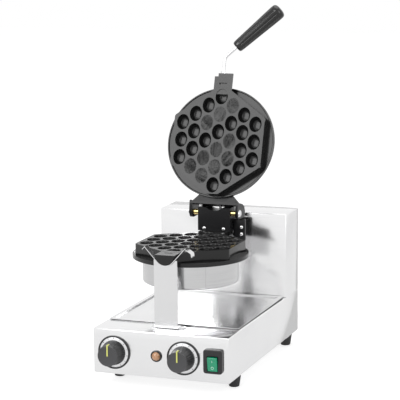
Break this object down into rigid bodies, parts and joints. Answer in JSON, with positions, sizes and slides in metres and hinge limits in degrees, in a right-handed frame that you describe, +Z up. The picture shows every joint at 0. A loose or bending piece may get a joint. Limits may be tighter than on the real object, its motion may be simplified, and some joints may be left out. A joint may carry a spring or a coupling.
{
  "type": "rotating bubble waffle maker",
  "caption": "Counter-top rotating bubble waffle maker: steel base with rear tower, dials and drip tray, and two hinged cast moulds on a turning shaft.",
  "frame": {"origin": "middle of the whole object's footprint, at the bottom of the feet", "axes": "+Z up, -Y is the side with the controls, +X is on the right of someone who faces the controls"},
  "size_m": [0.25, 0.4436, 0.6467],
  "materials": {
    "base_shell": "brushed stainless steel sheet, satin",
    "base_bottom_plate": "brushed stainless steel sheet, satin",
    "tower_cover": "brushed stainless steel sheet, satin",
    "tower_back_panel": "brushed stainless steel sheet, satin",
    "foot_front_left": "black moulded rubber",
    "foot_front_right": "black moulded rubber",
    "foot_rear_left": "black moulded rubber",
    "foot_rear_right": "black moulded rubber",
    "support_post": "brushed stainless steel sheet, satin",
    "post_screw_left": "turned and plated steel",
    "post_screw_right": "turned and plated steel",
    "cradle": "brushed stainless steel sheet, satin",
    "timer_dial": "silver dial ring with a black rim",
    "thermostat_dial": "silver dial ring with a black rim",
    "timer_body": "black moulded bakelite, satin",
    "thermostat_body": "black moulded bakelite, satin",
    "lamp_bezel": "black moulding",
    "lamp_lens": "amber moulding",
    "switch_bezel": "black moulding",
    "switch_body": "black moulding",
    "terminal_block": "off-white moulding",
    "cable_gland": "black moulding",
    "front_bearing": "turned and plated steel",
    "bearing_stand": "brushed stainless steel sheet, satin",
    "rotor_shaft": "turned and plated steel",
    "shaft_collar": "turned and plated steel",
    "lower_mould": "cast aluminium with a dark non-stick coat",
    "lower_drum": "brushed stainless steel sheet, satin",
    "lower_heater": "turned and plated steel",
    "lower_drum_bolt": "turned and plated steel",
    "hinge_bracket": "cast hinge metal with a dark heat-proof coat",
    "lug_screw_left": "turned and plated steel",
    "lug_screw_right": "turned and plated steel",
    "bracket_screw_left": "turned and plated steel",
    "bracket_screw_right": "turned and plated steel",
    "hinge_bush_left": "plain machined brass",
    "hinge_bush_right": "plain machined brass",
    "hinge_pin": "turned and plated steel",
    "stop_bolt": "turned and plated steel",
    "lead_cover": "brushed stainless steel sheet, satin",
    "lead_cover_screw_upper": "turned and plated steel",
    "lead_cover_screw_lower": "turned and plated steel",
    "upper_mould": "cast aluminium with a dark non-stick coat",
    "upper_drum": "brushed stainless steel sheet, satin",
    "upper_heater": "turned and plated steel",
    "upper_drum_bolt": "turned and plated steel",
    "hinge_yoke": "cast hinge metal with a dark heat-proof coat",
    "yoke_screw_left": "turned and plated steel",
    "yoke_screw_right": "turned and plated steel",
    "handle_rod": "turned and plated steel",
    "handle_nut": "turned and plated steel",
    "handle_grip": "black moulded bakelite, satin",
    "drip_tray": "brushed stainless steel sheet, satin",
    "timer_knob": "black moulded bakelite, satin",
    "timer_pointer": "pale yellow green moulding",
    "timer_spindle": "turned and plated steel",
    "thermostat_knob": "black moulded bakelite, satin",
    "thermostat_pointer": "pale yellow green moulding",
    "thermostat_spindle": "turned and plated steel",
    "switch_rocker": "green moulding"
  },
  "bodies": {
    "base": {"base_shell": "base_shell", "base_bottom_plate": "base_bottom_plate", "tower_cover": "tower_cover", "tower_back_panel": "tower_back_panel", "foot_front_left": "foot_front_left", "foot_front_right": "foot_front_right", "foot_rear_left": "foot_rear_left", "foot_rear_right": "foot_rear_right", "support_post": "support_post", "post_screw_left": "post_screw_left", "post_screw_right": "post_screw_right", "cradle": "cradle", "timer_dial": "timer_dial", "thermostat_dial": "thermostat_dial", "timer_body": "timer_body", "thermostat_body": "thermostat_body", "lamp_bezel": "lamp_bezel", "lamp_lens": "lamp_lens", "switch_bezel": "switch_bezel", "switch_body": "switch_body", "terminal_block": "terminal_block", "cable_gland": "cable_gland", "front_bearing": "front_bearing", "bearing_stand": "bearing_stand"},
    "rotor": {"rotor_shaft": "rotor_shaft", "shaft_collar": "shaft_collar", "lower_mould": "lower_mould", "lower_drum": "lower_drum", "lower_heater": "lower_heater", "lower_drum_bolt": "lower_drum_bolt", "hinge_bracket": "hinge_bracket", "lug_screw_left": "lug_screw_left", "lug_screw_right": "lug_screw_right", "bracket_screw_left": "bracket_screw_left", "bracket_screw_right": "bracket_screw_right", "hinge_bush_left": "hinge_bush_left", "hinge_bush_right": "hinge_bush_right", "hinge_pin": "hinge_pin", "stop_bolt": "stop_bolt", "lead_cover": "lead_cover", "lead_cover_screw_upper": "lead_cover_screw_upper", "lead_cover_screw_lower": "lead_cover_screw_lower"},
    "lid": {"upper_mould": "upper_mould", "upper_drum": "upper_drum", "upper_heater": "upper_heater", "upper_drum_bolt": "upper_drum_bolt", "hinge_yoke": "hinge_yoke", "yoke_screw_left": "yoke_screw_left", "yoke_screw_right": "yoke_screw_right", "handle_rod": "handle_rod", "handle_nut": "handle_nut", "handle_grip": "handle_grip"},
    "drip_tray": {"drip_tray": "drip_tray"},
    "timer": {"timer_knob": "timer_knob", "timer_pointer": "timer_pointer", "timer_spindle": "timer_spindle"},
    "thermostat": {"thermostat_knob": "thermostat_knob", "thermostat_pointer": "thermostat_pointer", "thermostat_spindle": "thermostat_spindle"},
    "switch": {"switch_rocker": "switch_rocker"}
  },
  "joints": [
    {"name": "rotor_turn", "type": "hinge", "parent": "base", "child": "rotor", "pos_m": [0, -0.03705, 0.235], "axis": [0, 1, 0], "range_deg": [-35, 35]},
    {"name": "lid_hinge", "type": "hinge", "parent": "rotor", "child": "lid", "pos_m": [0, 0.09295, 0.266], "axis": [1, 0, 0], "range_deg": [0, 108.8]},
    {"name": "drip_tray_lift", "type": "slide", "parent": "base", "child": "drip_tray", "axis": [0, 0, 1], "range_m": [0, 0.018]},
    {"name": "timer_turn", "type": "hinge", "parent": "base", "child": "timer", "pos_m": [-0.0855, -0.18955, 0.0634], "axis": [0, 1, 0], "range_deg": [0, 300]},
    {"name": "thermostat_turn", "type": "hinge", "parent": "base", "child": "thermostat", "pos_m": [0.0426, -0.18955, 0.0634], "axis": [0, 1, 0], "range_deg": [0, 270]},
    {"name": "switch_rock", "type": "hinge", "parent": "base", "child": "switch", "pos_m": [0.0982, -0.19465, 0.0597], "axis": [1, 0, 0], "range_deg": [-18, 0]}
  ]
}
